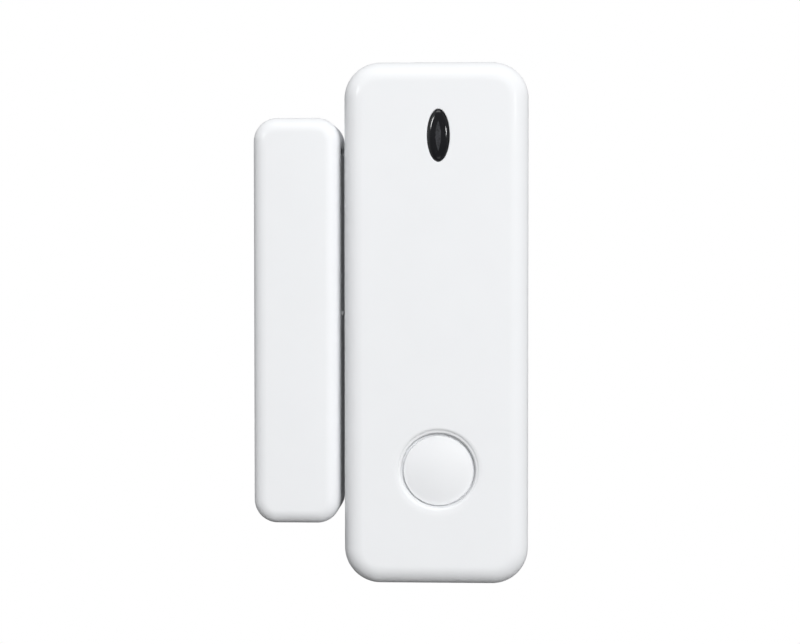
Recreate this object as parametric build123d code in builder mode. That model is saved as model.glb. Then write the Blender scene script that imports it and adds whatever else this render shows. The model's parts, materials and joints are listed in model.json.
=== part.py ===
"""Two-part wireless door contact: a transmitter with an indicator and a push button, and a magnet unit.

Upright on a wall or door frame: +Z runs up its length, the front faces -Y, and the wall is the plane y = 0.
A height here is a distance out from the wall, so a sketch on Plane.XZ.offset(height) lies at y = -height.
"""

import os

from build123d import *

os.makedirs("parts", exist_ok=True)

# Transmitter case
case_width = 36.7
case_length = 104.0
case_depth = 18.0
case_corner = 7.2
case_front_round = 4.0
case_wall = 1.8
base_back = 0.4
base_floor_top = 2.4
base_rim_top = 2.8
seam_gap = 0.2
lip_thickness = 1.2
lip_top = 5.8
lip_clearance = 0.2

# Indicator and push button, one above the other just right of the case's centre line
controls_x = 0.5
lens_z = 37.25
lens_width = 4.4
lens_length = 10.3
button_z = -29.1
button_radius = 6.95
button_gap = 0.3
dish_radius = 8.15
dish_depth = 0.9

# Magnet unit, standing on the left of the transmitter
unit_width = 17.5
unit_length = 81.8
unit_depth = 14.3
unit_corner = 4.75
unit_front_round = 3.0
unit_wall = 1.6
unit_gap = 1.1
unit_rise = 0.4
unit_floor_top = 2.0
unit_rim_top = 2.2
unit_lip_top = 4.8
slot_rise = 34.4
slot_width = 1.3
slot_top = 10.0
mark_rise = 1.4

# Fixing to the wall
screw_hole_radius = 1.9
case_screw_rise = 44.8
unit_screw_rise = 34.5
pad_recess = 0.6
pad_play = 0.2
base_edge = 0.3
case_pad_width = 26.0
case_pad_length = 48.0
unit_pad_width = 11.0
unit_pad_length = 56.0

# Circuit board
board_width = 29.4
board_length = 81.0
board_thickness = 1.6
board_back = 4.4
board_front = board_back + board_thickness
board_screw = (11.0, 37.5)
notch_left = 2.7
notch_low = -14.4
notch_high = 24.2
led_leg_x = 1.27

# Battery, a 12 V cylindrical cell of the 23 A size
cell_radius = 5.15
cell_length = 28.5
cell_x = 8.6
cell_low = -9.2
cell_height = 8.6
cell_high = cell_low + cell_length
cell_wrap = 0.15

# Reed switch along the edge that faces the magnet
reed_x = -12.6
reed_height = 7.6
reed_radius = 1.1
reed_length = 14.0
reed_wire = 0.25
reed_reach = 10.6

# Tact switch behind the button, and tamper switch that feels the wall
tact_size = 6.0
tact_body_front = 9.5
tact_plunger_radius = 1.7
tact_plunger_front = 11.0
tact_gap = 0.12
tamper_x = -10.3
tamper_z = -30.0
tamper_pin_radius = 1.5
tamper_reach = 1.2
running_clearance = 0.06

unit_x = -(case_width / 2 + unit_gap + unit_width / 2)
unit_plane = Plane(origin=(unit_x, 0, unit_rise), x_dir=(1, 0, 0), z_dir=(0, -1, 0))


def rounded_block(plane, width, length, corner, back, front, edge):
    """A rounded upright block between two heights, with its front edge rounded as well."""
    with BuildPart() as block:
        with BuildSketch(plane.offset(back)):
            RectangleRounded(width, length, corner)
        extrude(amount=front - back)
        fillet(block.faces().sort_by(Axis.Y)[0].edges(), edge)
    return block.part


def post(plane, x, z, radius, back, front):
    """A round post square to the wall, between two heights; subtracted, it makes a round hole."""
    with BuildPart() as bar:
        with BuildSketch(plane.offset(back)):
            with Locations((x, z)):
                Circle(radius)
        extrude(amount=front - back)
    return bar.part


def finish(piece, name):
    """Label a finished piece and write it as its own file."""
    piece.part.label = name
    export_step(piece.part, f"parts/{name}.step")


# ---------------------------------------------------------------- front cover
cavity_front = case_depth - case_wall
cover_back = base_rim_top + seam_gap
cavity = rounded_block(
    Plane.XZ, case_width - 2 * case_wall, case_length - 2 * case_wall,
    case_corner - case_wall, 0, cavity_front, case_front_round - case_wall,
)
cover_skin = rounded_block(
    Plane.XZ, case_width, case_length, case_corner, cover_back, case_depth, case_front_round
)
button_hole = button_radius + button_gap
collar_gap = 1.1
collar_wall = 1.0
lens_play = 0.05
guide_inner = 8.4
guide_outer = guide_inner + 1.1
guide_back = 13.0
collar_back = 13.9
release_slot_width = 8.0
release_slot_height = 1.2
button_axis = Axis((controls_x, 0, button_z), (0, 1, 0))

with BuildPart() as front_cover:
    add(cover_skin)
    add(cavity, mode=Mode.SUBTRACT)
    # guide ring for the button and collar for the lens, standing inwards from the front wall
    with BuildSketch(Plane.XZ.offset(guide_back)):
        with Locations((controls_x, button_z)):
            Circle(guide_outer)
            Circle(guide_inner, mode=Mode.SUBTRACT)
    extrude(amount=cavity_front + 0.2 - guide_back)
    with BuildSketch(Plane.XZ.offset(collar_back)):
        with Locations((controls_x, lens_z)):
            Ellipse(
                lens_width / 2 + collar_gap + collar_wall, lens_length / 2 + collar_gap + collar_wall
            )
            Ellipse(lens_width / 2 + collar_gap, lens_length / 2 + collar_gap, mode=Mode.SUBTRACT)
    extrude(amount=cavity_front + 0.2 - collar_back)
    # dished recess that leads a fingertip to the button, then the button's own hole
    with BuildSketch(Plane(origin=(controls_x, 0, button_z))):
        with BuildLine():
            rim = (dish_radius, -case_depth)
            foot = (button_hole, -(case_depth - dish_depth))
            sag = (dish_radius - 0.45, -(case_depth - dish_depth * 0.68))
            ThreePointArc(rim, sag, foot)
            Polyline(foot, (0, foot[1]), (0, -case_depth - 1), (dish_radius, -case_depth - 1), rim)
        make_face()
    revolve(axis=button_axis, mode=Mode.SUBTRACT)
    add(post(Plane.XZ, controls_x, button_z, button_hole, guide_back, case_depth), mode=Mode.SUBTRACT)
    # lens opening
    with BuildSketch(Plane.XZ.offset(collar_back)):
        with Locations((controls_x, lens_z)):
            Ellipse(lens_width / 2 + lens_play, lens_length / 2 + lens_play)
    extrude(amount=case_depth - collar_back + 1, mode=Mode.SUBTRACT)
    # slot for a screwdriver in the bottom end, at the seam
    with BuildSketch(Plane.XZ.offset(cover_back - 1)):
        with Locations((0, -case_length / 2 + case_wall / 2)):
            Rectangle(release_slot_width, case_wall + 2)
    extrude(amount=release_slot_height + 1, mode=Mode.SUBTRACT)
finish(front_cover, "front_cover")

# ------------------------------------------------------------ transmitter base
lip_width = case_width - 2 * (case_wall + lip_clearance)
lip_length = case_length - 2 * (case_wall + lip_clearance)
lip_corner = case_corner - case_wall - lip_clearance
inner_width = lip_width - 2 * lip_thickness
inner_length = lip_length - 2 * lip_thickness
inner_corner = lip_corner - lip_thickness
post_radius = 2.6
pilot_radius = 0.8
peg_radius = 1.0
saddle_thickness = 1.4
saddle_rows = (-5.0, 4.9, 14.8)
saddle_half = 5.0
saddle_top = 6.2
end_wall = 1.4
end_wall_low = notch_low + 0.4
end_wall_high = notch_high - 0.4 - end_wall
end_wall_front = 11.5
tamper_hole = tamper_pin_radius + running_clearance

with BuildPart() as base_plate:
    with BuildSketch(Plane.XZ.offset(base_back)):
        RectangleRounded(case_width, case_length, case_corner)
    extrude(amount=base_rim_top - base_back)
    chamfer(base_plate.faces().sort_by(Axis.Y)[-1].edges(), base_edge)
    with BuildSketch(Plane.XZ.offset(base_rim_top)):
        RectangleRounded(lip_width, lip_length, lip_corner)
    extrude(amount=lip_top - base_rim_top)
    with BuildSketch(Plane.XZ.offset(base_floor_top)):
        RectangleRounded(inner_width, inner_length, inner_corner)
    extrude(amount=lip_top, mode=Mode.SUBTRACT)
    # board posts: two take screws and two carry locating pegs
    for side in (-1, 1):
        screw_post = (side * board_screw[0], side * board_screw[1])
        peg_post = (side * board_screw[0], -side * board_screw[1])
        add(post(Plane.XZ, *screw_post, post_radius, base_floor_top, board_back))
        add(post(Plane.XZ, *screw_post, pilot_radius, 1.2, board_back), mode=Mode.SUBTRACT)
        add(post(Plane.XZ, *peg_post, post_radius, base_floor_top, board_back))
        add(post(Plane.XZ, *peg_post, peg_radius, board_back, board_front + 0.8))
    # battery saddles and the end walls behind its two contacts
    for row in saddle_rows:
        with BuildSketch(Plane.XY.offset(row - saddle_thickness / 2)):
            with Locations((cell_x, -(base_floor_top + saddle_top) / 2)):
                Rectangle(2 * saddle_half, saddle_top - base_floor_top)
        extrude(amount=saddle_thickness)
    for low in (end_wall_low, end_wall_high):
        with BuildSketch(Plane.XY.offset(low)):
            with Locations((cell_x, -(base_floor_top + end_wall_front) / 2)):
                Rectangle(2 * saddle_half, end_wall_front - base_floor_top)
        extrude(amount=end_wall)
    with BuildSketch(Plane.XY.offset(end_wall_low + end_wall)):
        with Locations((cell_x, -cell_height)):
            Circle(cell_radius + 0.1)
    extrude(amount=end_wall_high - end_wall_low - end_wall, mode=Mode.SUBTRACT)
    # wall screws, tamper pin and the recess for the adhesive pad
    for side in (-1, 1):
        add(post(Plane.XZ, 0, side * case_screw_rise, screw_hole_radius, 0, lip_top), mode=Mode.SUBTRACT)
    add(post(Plane.XZ, tamper_x, tamper_z, tamper_hole, 0, lip_top), mode=Mode.SUBTRACT)
    with BuildSketch(Plane.XZ):
        RectangleRounded(case_pad_width + 2 * pad_play, case_pad_length + 2 * pad_play, 2.2)
    extrude(amount=base_back + pad_recess, mode=Mode.SUBTRACT)
finish(base_plate, "base_plate")

with BuildPart() as transmitter_adhesive_pad:
    with BuildSketch(Plane.XZ):
        RectangleRounded(case_pad_width, case_pad_length, 2.0)
    extrude(amount=base_back + pad_recess)
finish(transmitter_adhesive_pad, "transmitter_adhesive_pad")

# ------------------------------------------------------------ lens and diffuser
lens_proud = 0.15
lens_flange = 0.95
lens_flange_thickness = 0.8
diffuser_back = collar_back + 0.4
diffuser_front = cavity_front - lens_flange_thickness - 0.05
ridge_half_width = 0.75
ridge_half_length = 3.2

with BuildPart() as indicator_lens:
    with BuildSketch(Plane.XZ.offset(cavity_front - lens_flange_thickness)):
        with Locations((controls_x, lens_z)):
            Ellipse(lens_width / 2 + lens_flange, lens_length / 2 + lens_flange)
    extrude(amount=lens_flange_thickness)
    with BuildSketch(Plane.XZ.offset(cavity_front)):
        with Locations((controls_x, lens_z)):
            Ellipse(lens_width / 2, lens_length / 2)
    extrude(amount=case_wall + lens_proud)
    fillet(indicator_lens.faces().sort_by(Axis.Y)[0].edges(), 0.45)
    # narrow pointed facet in the middle of the window
    with BuildSketch(Plane.XZ.offset(case_depth + lens_proud)):
        with BuildLine():
            low = (controls_x, lens_z - ridge_half_length)
            high = (controls_x, lens_z + ridge_half_length)
            ThreePointArc(low, (controls_x + ridge_half_width, lens_z), high)
            ThreePointArc(high, (controls_x - ridge_half_width, lens_z), low)
        make_face()
    extrude(amount=-0.3, mode=Mode.SUBTRACT)
finish(indicator_lens, "indicator_lens")

with BuildPart() as lens_diffuser:
    with BuildSketch(Plane.XZ.offset(diffuser_back)):
        with Locations((controls_x, lens_z)):
            Ellipse(lens_width / 2 + lens_flange, lens_length / 2 + lens_flange)
    extrude(amount=diffuser_front - diffuser_back)
finish(lens_diffuser, "lens_diffuser")

# ---------------------------------------------------------------- push button
button_crown = 17.95
button_edge = 17.55
button_lip = 0.35
flange_front = cavity_front - 0.08
flange_back = flange_front - 1.1
cap_inner = 16.3
stem_radius = 1.6
stem_back = tact_plunger_front + tact_gap
rib_thickness = 0.9

with BuildPart() as push_button:
    with BuildSketch(Plane(origin=(controls_x, 0, button_z))):
        with BuildLine():
            Line((0, -cap_inner), (0, -button_crown))
            ThreePointArc(
                (0, -button_crown),
                (button_radius / 2, -(button_crown * 0.75 + button_edge * 0.25)),
                (button_radius - button_lip, -button_edge),
            )
            RadiusArc(
                (button_radius - button_lip, -button_edge),
                (button_radius, -button_edge + button_lip),
                -button_lip,
            )
            Polyline(
                (button_radius, -button_edge + button_lip),
                (button_radius, -flange_front),
                (guide_inner - 0.35, -flange_front),
                (guide_inner - 0.35, -flange_back),
                (button_radius - 1.4, -flange_back),
                (button_radius - 1.4, -cap_inner),
                (0, -cap_inner),
            )
        make_face()
    revolve(axis=button_axis)
    add(post(Plane.XZ, controls_x, button_z, stem_radius, stem_back, cap_inner + 0.2))
    # cross ribs that carry the stem
    with BuildSketch(Plane.XZ.offset(flange_back)):
        with Locations((controls_x, button_z)):
            Rectangle(2 * button_radius - 2, rib_thickness)
            Rectangle(rib_thickness, 2 * button_radius - 2)
    extrude(amount=cap_inner + 0.1 - flange_back)
finish(push_button, "push_button")

# --------------------------------------------------------------- circuit board
with BuildPart() as circuit_board:
    with BuildSketch(Plane.XZ.offset(board_back)):
        RectangleRounded(board_width, board_length, 2.5)
        with Locations(((notch_left + board_width) / 2, (notch_low + notch_high) / 2)):
            Rectangle(board_width - notch_left, notch_high - notch_low, mode=Mode.SUBTRACT)
        for side in (-1, 1):
            with Locations((side * board_screw[0], side * board_screw[1])):
                Circle(1.2, mode=Mode.SUBTRACT)
            with Locations((side * board_screw[0], -side * board_screw[1])):
                Circle(peg_radius + 0.1, mode=Mode.SUBTRACT)
            with Locations((reed_x, unit_rise + side * reed_reach)):
                Circle(reed_wire + 0.1, mode=Mode.SUBTRACT)
            with Locations((controls_x + side * led_leg_x, lens_z)):
                Circle(0.45, mode=Mode.SUBTRACT)
        with Locations((tamper_x, tamper_z)):
            Circle(2.7, mode=Mode.SUBTRACT)
    extrude(amount=board_thickness)
finish(circuit_board, "circuit_board")

with BuildPart() as circuit_board_screws:
    for side in (-1, 1):
        x, z = side * board_screw[0], side * board_screw[1]
        add(post(Plane.XZ, x, z, 2.0, board_front, board_front + 1.3))
        add(post(Plane.XZ, x, z, pilot_radius, 1.6, board_front))
    heads = circuit_board_screws.faces().group_by(Axis.Y)[0]
    fillet(heads.edges(), 0.45)
    for side in (-1, 1):
        with BuildSketch(Plane.XZ.offset(board_front + 1.3)):
            with Locations((side * board_screw[0], side * board_screw[1])):
                Rectangle(2.2, 0.5)
                Rectangle(0.5, 2.2)
        extrude(amount=-0.7, mode=Mode.SUBTRACT)
finish(circuit_board_screws, "circuit_board_screws")

# ----------------------------------------------------------------- reed switch
reed_wall = 0.35
blade_width = 1.1
blade_thickness = 0.2
blade_overlap = 0.8

with BuildPart() as reed_glass:
    with BuildSketch(Plane.XY.offset(unit_rise - reed_length / 2)):
        with Locations((reed_x, -reed_height)):
            Circle(reed_radius)
    extrude(amount=reed_length)
    fillet(reed_glass.edges().filter_by(GeomType.CIRCLE), reed_radius * 0.6)
    with BuildSketch(Plane.XY.offset(unit_rise - reed_length / 2 + 1.6)):
        with Locations((reed_x, -reed_height)):
            Circle(reed_radius - reed_wall)
    extrude(amount=reed_length - 3.2, mode=Mode.SUBTRACT)
    with BuildSketch(Plane.XY.offset(unit_rise - reed_length)):
        with Locations((reed_x, -reed_height)):
            Circle(reed_wire)
    extrude(amount=2 * reed_length, mode=Mode.SUBTRACT)
finish(reed_glass, "reed_glass")

# The two leads leave the capsule, turn towards the board and pass through it.
# Inside the capsule each ends in a flat blade, and the blades overlap with a gap between them.
with BuildPart() as reed_leads:
    for side in (-1, 1):
        outer_end = unit_rise + side * reed_reach
        seal = unit_rise + side * (reed_length / 2 - 1.6)
        with BuildLine() as route:
            FilletPolyline(
                (reed_x, -reed_height, seal),
                (reed_x, -reed_height, outer_end),
                (reed_x, -(board_back - 1.0), outer_end),
                radius=0.8,
            )
        with BuildSketch(Plane(origin=(reed_x, -reed_height, seal), z_dir=(0, 0, side))):
            Circle(reed_wire)
        sweep(path=route.line)
        blade_centre = (seal + unit_rise - side * blade_overlap) / 2
        blade_length = abs(seal - unit_rise) + blade_overlap
        blade_height = -reed_height + side * (blade_thickness / 2 + 0.08)
        with BuildSketch(Plane.XY.offset(blade_centre - blade_length / 2)):
            with Locations((reed_x, blade_height)):
                Rectangle(blade_width, blade_thickness)
        extrude(amount=blade_length)
finish(reed_leads, "reed_leads")

# ----------------------------------------------------------------- tact switch
tact_frame_thickness = 0.3
plunger_seat = 7.4

with BuildPart() as tact_switch_body:
    with BuildSketch(Plane.XZ.offset(board_front)):
        with Locations((controls_x, button_z)):
            Rectangle(tact_size, tact_size)
            chamfer(vertices(), 0.5)
    extrude(amount=tact_body_front - tact_frame_thickness - board_front)
    add(
        post(
            Plane.XZ, controls_x, button_z, tact_plunger_radius + 0.3,
            plunger_seat - 0.5, tact_body_front,
        ),
        mode=Mode.SUBTRACT,
    )
finish(tact_switch_body, "tact_switch_body")

with BuildPart() as tact_switch_frame:
    with BuildSketch(Plane.XZ.offset(tact_body_front - tact_frame_thickness)):
        with Locations((controls_x, button_z)):
            Rectangle(tact_size, tact_size)
            chamfer(vertices(), 0.5)
            Circle(tact_plunger_radius + running_clearance, mode=Mode.SUBTRACT)
    extrude(amount=tact_frame_thickness)
    with BuildSketch(Plane.XZ.offset(tact_body_front)):
        with Locations((controls_x, button_z)):
            with GridLocations(tact_size - 1.6, tact_size - 1.6, 2, 2):
                Circle(0.4)
    extrude(amount=0.25)
finish(tact_switch_frame, "tact_switch_frame")

with BuildPart() as tact_switch_plunger:
    add(post(Plane.XZ, controls_x, button_z, tact_plunger_radius, plunger_seat, tact_plunger_front))
    fillet(tact_switch_plunger.faces().sort_by(Axis.Y)[0].edges(), 0.25)
finish(tact_switch_plunger, "tact_switch_plunger")

# --------------------------------------------------------------- tamper switch
tamper_body_size = 6.0
tamper_body_front = 11.0
tamper_pin_front = 9.0
collar_radius = 2.2
collar_low = base_floor_top + 0.05
collar_high = collar_low + 0.8
spring_wire = 0.15
spring_radius = tamper_pin_radius + 0.17 + spring_wire
spring_low = collar_high + 0.08 + spring_wire
spring_high = board_front - 0.08 - spring_wire

with BuildPart() as tamper_switch_body:
    with BuildSketch(Plane.XZ.offset(board_front)):
        with Locations((tamper_x, tamper_z)):
            RectangleRounded(tamper_body_size, tamper_body_size, 0.4)
    extrude(amount=tamper_body_front - board_front)
    chamfer(tamper_switch_body.faces().sort_by(Axis.Y)[0].edges(), 0.3)
    add(
        post(Plane.XZ, tamper_x, tamper_z, tamper_hole, board_front, tamper_pin_front + tamper_reach + 0.3),
        mode=Mode.SUBTRACT,
    )
finish(tamper_switch_body, "tamper_switch_body")

with BuildPart() as tamper_pin:
    add(post(Plane.XZ, tamper_x, tamper_z, tamper_pin_radius, -tamper_reach, tamper_pin_front))
    add(post(Plane.XZ, tamper_x, tamper_z, collar_radius, collar_low, collar_high))
    fillet(tamper_pin.faces().sort_by(Axis.Y)[-1].edges(), 0.6)
finish(tamper_pin, "tamper_pin")

with BuildPart() as tamper_spring:
    with BuildLine() as turns:
        Helix(
            (spring_high - spring_low) / 3.5, spring_high - spring_low, spring_radius,
            center=(tamper_x, -spring_high, tamper_z), direction=(0, 1, 0),
        )
    with BuildSketch(Plane(origin=turns.line @ 0, z_dir=turns.line % 0)):
        Circle(spring_wire)
    sweep(path=turns.line, is_frenet=True)
finish(tamper_spring, "tamper_spring")

# ------------------------------------------------------------------ status LED
led_radius = 1.5
led_back = 8.0
led_front = 13.3
led_leg = 0.25

with BuildPart() as status_led:
    with BuildSketch(Plane(origin=(controls_x, 0, lens_z))):
        with BuildLine():
            Polyline(
                (0, -led_front), (0, -led_back), (led_radius + 0.4, -led_back),
                (led_radius + 0.4, -led_back - 1), (led_radius, -led_back - 1),
                (led_radius, -led_front + led_radius),
            )
            RadiusArc((led_radius, -led_front + led_radius), (0, -led_front), led_radius)
        make_face()
    revolve(axis=Axis((controls_x, 0, lens_z), (0, 1, 0)))
finish(status_led, "status_led")

with BuildPart() as status_led_leads:
    with BuildSketch(Plane.XZ.offset(board_back - 0.8)):
        with Locations((controls_x - led_leg_x, lens_z), (controls_x + led_leg_x, lens_z)):
            Rectangle(2 * led_leg, 2 * led_leg)
    extrude(amount=led_back - board_back + 0.8)
finish(status_led_leads, "status_led_leads")

# --------------------------------------------------------------------- battery
nub_radius = 2.2
nub_length = 1.1
can_high = cell_high - nub_length

with BuildPart() as battery_can:
    with BuildSketch(Plane.XY.offset(cell_low)):
        with Locations((cell_x, -cell_height)):
            Circle(cell_radius - cell_wrap)
    extrude(amount=can_high - cell_low)
    with BuildSketch(Plane.XY.offset(can_high)):
        with Locations((cell_x, -cell_height)):
            Circle(nub_radius)
    extrude(amount=nub_length)
    fillet(battery_can.edges().filter_by(GeomType.CIRCLE).group_by(Axis.Z)[-1], 0.4)
finish(battery_can, "battery_can")

with BuildPart() as battery_wrap:
    with BuildSketch(Plane.XY.offset(cell_low + 0.5)):
        with Locations((cell_x, -cell_height)):
            Circle(cell_radius)
            Circle(cell_radius - cell_wrap, mode=Mode.SUBTRACT)
    extrude(amount=can_high - cell_low - 1.0)
finish(battery_wrap, "battery_wrap")

contact_thickness = 0.4
contact_width = 8.0
contact_front = 11.0
contact_back = 4.0
leaf_low = cell_high + 0.05

with BuildPart() as battery_contact_positive:
    with BuildSketch(Plane.XY.offset(end_wall_high - contact_thickness)):
        with Locations((cell_x, -(contact_back + contact_front) / 2)):
            Rectangle(contact_width, contact_front - contact_back)
    extrude(amount=contact_thickness)
    # dimple that meets the cell's nub, and a tail that reaches over the board
    with BuildSketch(Plane.XY.offset(leaf_low)):
        with Locations((cell_x, -cell_height)):
            Circle(1.0)
    with BuildSketch(Plane.XY.offset(end_wall_high - contact_thickness)):
        with Locations((cell_x, -cell_height)):
            Circle(2.4)
    loft()
    with BuildSketch(Plane.XY.offset(end_wall_high - contact_thickness)):
        with Locations((cell_x - contact_width / 2 - 1.4, -(board_front + 0.75))):
            Rectangle(2.8, 1.3)
    extrude(amount=contact_thickness)
finish(battery_contact_positive, "battery_contact_positive")

spring_plate_low = end_wall_low + end_wall
cone_wire = 0.3
cone_low = spring_plate_low + contact_thickness
cone_height = cell_low - cone_low - cone_wire - 0.08
cone_wide = 3.6
cone_taper = 36
cone_turns = 3.5

with BuildPart() as battery_contact_negative:
    with BuildSketch(Plane.XY.offset(spring_plate_low)):
        with Locations((cell_x, -(contact_back + contact_front) / 2)):
            Rectangle(contact_width, contact_front - contact_back)
        with Locations((cell_x - contact_width / 2 - 1.4, -(board_front + 0.75))):
            Rectangle(2.8, 1.3)
    extrude(amount=contact_thickness)
finish(battery_contact_negative, "battery_contact_negative")

with BuildPart() as battery_spring:
    with BuildLine() as cone:
        Helix(
            (cone_height - cone_wire) / cone_turns, cone_height - cone_wire, cone_wide,
            center=(cell_x, -cell_height, cone_low + cone_wire + 0.02),
            cone_angle=-cone_taper,
        )
    with BuildSketch(Plane(origin=cone.line @ 0, z_dir=cone.line % 0)):
        Circle(cone_wire)
    sweep(path=cone.line, is_frenet=True)
finish(battery_spring, "battery_spring")

# --------------------------------------------------------------------- antenna
coil_radius = 2.4
coil_wire = 0.4
coil_x = -8.4
coil_height = 9.8
coil_low = 15.0
coil_length = 17.0
coil_turns = 10

with BuildPart() as antenna_coil:
    with BuildLine() as winding:
        Helix(
            coil_length / coil_turns, coil_length, coil_radius,
            center=(coil_x, -coil_height, coil_low),
        )
    with BuildSketch(Plane(origin=winding.line @ 0, z_dir=winding.line % 0)):
        Circle(coil_wire)
    sweep(path=winding.line, is_frenet=True)
finish(antenna_coil, "antenna_coil")

# ----------------------------------------------------------- board components
resonator_x, resonator_z = 7.0, 30.2
with BuildPart() as resonator_can:
    add(post(Plane.XZ, resonator_x, resonator_z, 4.6, board_front + 0.3, board_front + 0.8))
    add(post(Plane.XZ, resonator_x, resonator_z, 4.0, board_front + 0.8, board_front + 3.6))
    fillet(resonator_can.faces().sort_by(Axis.Y)[0].edges(), 0.5)
finish(resonator_can, "resonator_can")

capacitor_x, capacitor_z = 9.4, -21.0
with BuildPart() as bulk_capacitor:
    add(post(Plane.XZ, capacitor_x, capacitor_z, 2.5, board_front + 0.2, board_front + 5.8))
    ends = bulk_capacitor.edges().filter_by(GeomType.CIRCLE)
    fillet(ends, 0.3)
finish(bulk_capacitor, "bulk_capacitor")

chip_x, chip_z = -4.2, 1.0
chip_width = 7.4
chip_length = 10.3
chip_back = board_front + 0.15
chip_front = board_front + 2.4
chip_lead_pitch = 1.27
chip_lead_rows = 8
chip_lead_width = 0.42
chip_lead_thickness = 0.25
chip_lead_reach = 1.3
chip_lead_height = board_front + 1.2

with BuildPart() as encoder_chip:
    with BuildSketch(Plane.XZ.offset(chip_back)):
        with Locations((chip_x, chip_z)):
            Rectangle(chip_width, chip_length)
    extrude(amount=chip_front - chip_back, taper=4)
    add(post(Plane.XZ, chip_x - 2.4, chip_z + 3.9, 0.6, chip_front - 0.15, chip_front), mode=Mode.SUBTRACT)
finish(encoder_chip, "encoder_chip")

with BuildPart() as encoder_chip_leads:
    for row in range(chip_lead_rows):
        lead_z = chip_z + (row - (chip_lead_rows - 1) / 2) * chip_lead_pitch
        for side in (-1, 1):
            root = chip_x + side * chip_width / 2
            knee = root + side * 0.55
            toe = root + side * chip_lead_reach
            with BuildSketch(Plane.XY.offset(lead_z - chip_lead_width / 2)):
                with BuildLine():
                    Polyline(
                        (root, -chip_lead_height),
                        (knee, -chip_lead_height),
                        (knee, -(board_front + chip_lead_thickness)),
                        (toe, -(board_front + chip_lead_thickness)),
                        (toe, -board_front),
                        (knee - side * chip_lead_thickness, -board_front),
                        (knee - side * chip_lead_thickness, -(chip_lead_height - chip_lead_thickness)),
                        (root, -(chip_lead_height - chip_lead_thickness)),
                        close=True,
                    )
                make_face()
            extrude(amount=chip_lead_width)
finish(encoder_chip_leads, "encoder_chip_leads")

resistor_places = (
    (-12.4, 17.0), (-12.4, 19.6), (-12.4, -14.8), (-5.0, -10.5), (-8.2, -10.5), (12.2, -26.0)
)
capacitor_places = (
    (-1.8, -10.5), (-4.4, 10.6), (-1.2, 10.6), (12.2, -30.4), (-7.6, -17.6), (-4.4, -17.6)
)

with BuildPart() as chip_resistors:
    with BuildSketch(Plane.XZ.offset(board_front)):
        with Locations(*resistor_places):
            Rectangle(1.25, 2.0)
    extrude(amount=0.5)
finish(chip_resistors, "chip_resistors")

with BuildPart() as chip_capacitors:
    with BuildSketch(Plane.XZ.offset(board_front)):
        with Locations(*capacitor_places):
            Rectangle(1.25, 2.0)
    extrude(amount=0.9)
finish(chip_capacitors, "chip_capacitors")

# ----------------------------------------------------------------- magnet unit
unit_cavity_front = unit_depth - unit_wall
unit_cover_back = unit_rim_top + seam_gap
unit_cavity = rounded_block(
    unit_plane, unit_width - 2 * unit_wall, unit_length - 2 * unit_wall,
    unit_corner - unit_wall, 0, unit_cavity_front, unit_front_round - unit_wall,
)
unit_skin = rounded_block(
    unit_plane, unit_width, unit_length, unit_corner, unit_cover_back, unit_depth, unit_front_round
)
magnet_width = 9.0
magnet_depth = 7.0
magnet_length = 44.0
magnet_back = unit_floor_top + 1.0
mark_depth = 5.0
mark_proud = 0.35
mark_radius = 0.55

with BuildPart() as magnet_cover:
    add(unit_skin)
    add(unit_cavity, mode=Mode.SUBTRACT)
    # slot for prying the cover off, on the side that faces the transmitter
    with BuildSketch(unit_plane.offset(unit_cover_back - 1)):
        with Locations((unit_width / 2, slot_rise)):
            Rectangle(2 * (unit_wall + 0.5), slot_width)
    extrude(amount=slot_top - unit_cover_back + 1, mode=Mode.SUBTRACT)
    # alignment mark, a small rib at mid-length on the same side
    with BuildSketch(unit_plane.offset(unit_cover_back + 1)):
        with Locations((unit_width / 2 - mark_radius + mark_proud, mark_rise)):
            Circle(mark_radius)
    extrude(amount=mark_depth)
    # two ribs that hold the magnet down
    with BuildSketch(unit_plane.offset(magnet_back + magnet_depth + 0.2)):
        with GridLocations(0, magnet_length - 12, 1, 2):
            Rectangle(unit_width - 2 * unit_wall + 0.4, 1.2)
    extrude(amount=unit_cavity_front + 0.2 - magnet_back - magnet_depth - 0.2)
finish(magnet_cover, "magnet_cover")

unit_lip_width = unit_width - 2 * (unit_wall + lip_clearance)
unit_lip_length = unit_length - 2 * (unit_wall + lip_clearance)
unit_lip_corner = unit_corner - unit_wall - lip_clearance
cradle_half = magnet_width / 2 + 1.0

with BuildPart() as magnet_base:
    with BuildSketch(unit_plane.offset(base_back)):
        RectangleRounded(unit_width, unit_length, unit_corner)
    extrude(amount=unit_rim_top - base_back)
    chamfer(magnet_base.faces().sort_by(Axis.Y)[-1].edges(), base_edge)
    with BuildSketch(unit_plane.offset(unit_rim_top)):
        RectangleRounded(unit_lip_width, unit_lip_length, unit_lip_corner)
    extrude(amount=unit_lip_top - unit_rim_top)
    with BuildSketch(unit_plane.offset(unit_floor_top)):
        RectangleRounded(
            unit_lip_width - 2 * lip_thickness, unit_lip_length - 2 * lip_thickness,
            unit_lip_corner - lip_thickness,
        )
    extrude(amount=unit_lip_top, mode=Mode.SUBTRACT)
    # cradle that locates the bar magnet: two end blocks and two cross rails
    with BuildSketch(unit_plane.offset(unit_floor_top)):
        with GridLocations(0, magnet_length + 2.2, 1, 2):
            Rectangle(2 * cradle_half, 2.0)
    extrude(amount=magnet_back + 3.0 - unit_floor_top)
    with BuildSketch(unit_plane.offset(unit_floor_top)):
        with GridLocations(0, magnet_length - 8, 1, 2):
            Rectangle(2 * cradle_half, 1.4)
    extrude(amount=magnet_back - unit_floor_top)
    for side in (-1, 1):
        add(
            post(unit_plane, 0, side * unit_screw_rise, screw_hole_radius, 0, unit_lip_top),
            mode=Mode.SUBTRACT,
        )
    with BuildSketch(unit_plane):
        RectangleRounded(unit_pad_width + 2 * pad_play, unit_pad_length + 2 * pad_play, 1.7)
    extrude(amount=base_back + pad_recess, mode=Mode.SUBTRACT)
finish(magnet_base, "magnet_base")

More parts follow.
